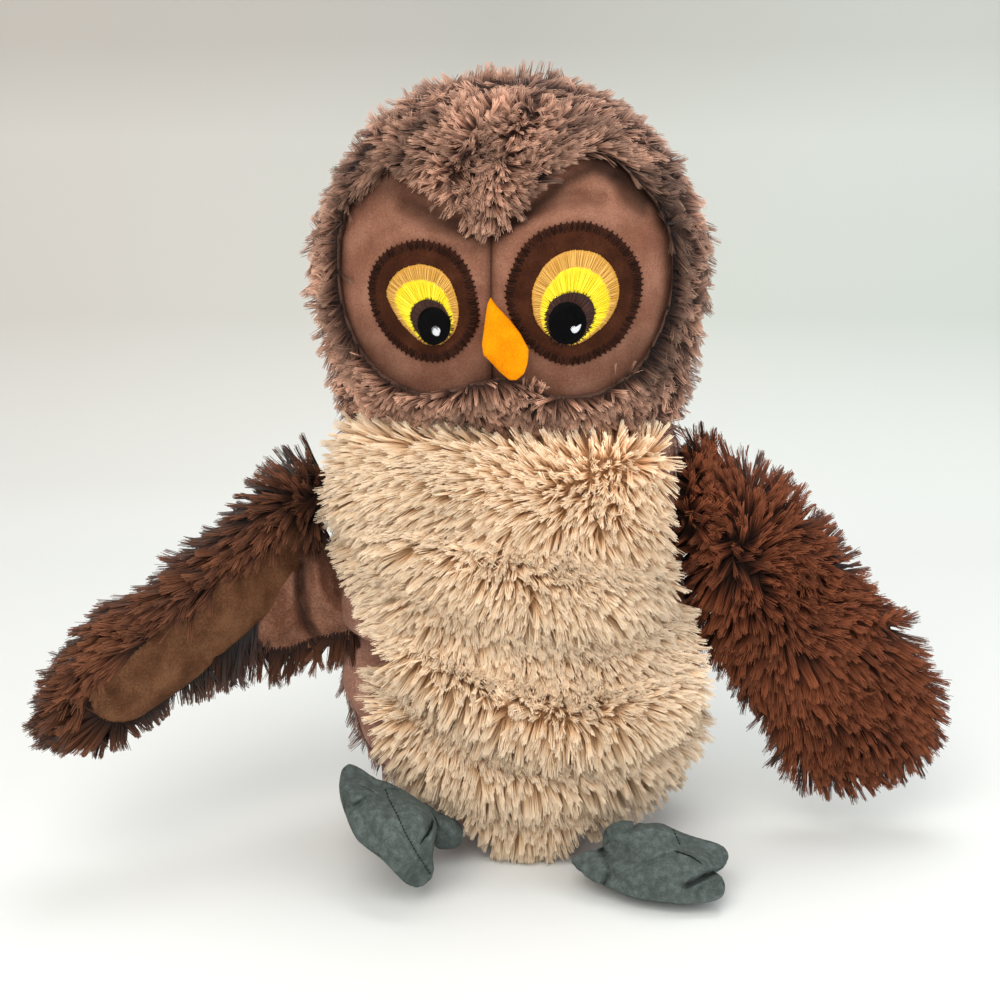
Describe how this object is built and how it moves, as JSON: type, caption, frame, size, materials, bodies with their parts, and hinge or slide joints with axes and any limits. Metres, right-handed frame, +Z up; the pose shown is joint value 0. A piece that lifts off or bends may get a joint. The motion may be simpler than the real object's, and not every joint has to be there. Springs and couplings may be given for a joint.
{
  "type": "plush owl",
  "caption": "Sitting stuffed toy owl with long-pile covers, a velour face with stitched eyes and a felt beak, hinged wings, feet that swing and a head that turns.",
  "frame": {"origin": "on the surface that the owl sits on, inside its flat seat, below the middle of the neck", "axes": "+Z up, -Y the way the owl faces, +X to the owl's own left"},
  "size_m": [0.3342, 0.1647, 0.292],
  "materials": {
    "belly_plush": "long beige pile",
    "mottled_plush": "short taupe pile with dark roots",
    "wing_plush": "long dark brown pile",
    "wing_velour": "brown velour",
    "face_velour": "taupe velour",
    "eye_felt": "dark brown felt",
    "gold_thread": "satin embroidery thread",
    "yellow_thread": "satin embroidery thread",
    "brown_thread": "satin embroidery thread",
    "black_thread": "satin embroidery thread",
    "white_thread": "satin embroidery thread",
    "beak_felt": "orange felt",
    "foot_velour": "grey velour",
    "polyester_fibre": "loose white fibre",
    "pouch_cloth": "woven cotton bag of plastic pellets"
  },
  "bodies": {
    "body": {"belly_panel": "belly_plush", "back_cover": "mottled_plush", "body_filling": "polyester_fibre", "pellet_pouch": "pouch_cloth"},
    "head": {"head_hood": "mottled_plush", "left_face_panel": "face_velour", "right_face_panel": "face_velour", "head_filling": "polyester_fibre", "left_eye_patch": "eye_felt", "left_eye_iris_gold": "gold_thread", "left_eye_iris_yellow": "yellow_thread", "left_eye_pupil_ring": "brown_thread", "left_eye_pupil": "black_thread", "left_eye_glint": "white_thread", "right_eye_patch": "eye_felt", "right_eye_iris_gold": "gold_thread", "right_eye_iris_yellow": "yellow_thread", "right_eye_pupil_ring": "brown_thread", "right_eye_pupil": "black_thread", "right_eye_glint": "white_thread", "beak": "beak_felt"},
    "left_wing": {"left_wing_plush": "wing_plush", "left_wing_lining": "wing_velour", "left_wing_filling": "polyester_fibre"},
    "right_wing": {"right_wing_plush": "wing_plush", "right_wing_lining": "wing_velour", "right_wing_filling": "polyester_fibre"},
    "left_foot": {"left_leg": "foot_velour", "left_foot_upper": "foot_velour", "left_foot_sole": "foot_velour", "left_foot_filling": "polyester_fibre"},
    "right_foot": {"right_leg": "foot_velour", "right_foot_upper": "foot_velour", "right_foot_sole": "foot_velour", "right_foot_filling": "polyester_fibre"}
  },
  "joints": [
    {"name": "head_turn", "type": "hinge", "parent": "body", "child": "head", "pos_m": [-0.002, 0, 0.166], "axis": [0, 0, 1], "range_deg": [-25, 25]},
    {"name": "left_wing_flap", "type": "hinge", "parent": "body", "child": "left_wing", "pos_m": [0.08787, 0.0012, 0.13425], "axis": [0.0361, -0.9891, 0.1429], "range_deg": [-9, 95]},
    {"name": "right_wing_flap", "type": "hinge", "parent": "body", "child": "right_wing", "pos_m": [-0.08943, -0.01315, 0.12337], "axis": [-0.6422, 0.7647, 0.0535], "range_deg": [-40, 80]},
    {"name": "left_foot_swing", "type": "hinge", "parent": "body", "child": "left_foot", "pos_m": [0.03673, -0.05405, 0.01311], "axis": [0, 0, 1], "range_deg": [-30, 35]},
    {"name": "right_foot_swing", "type": "hinge", "parent": "body", "child": "right_foot", "pos_m": [-0.02283, -0.05558, 0.01403], "axis": [0, 0, 1], "range_deg": [-8, 35]}
  ]
}
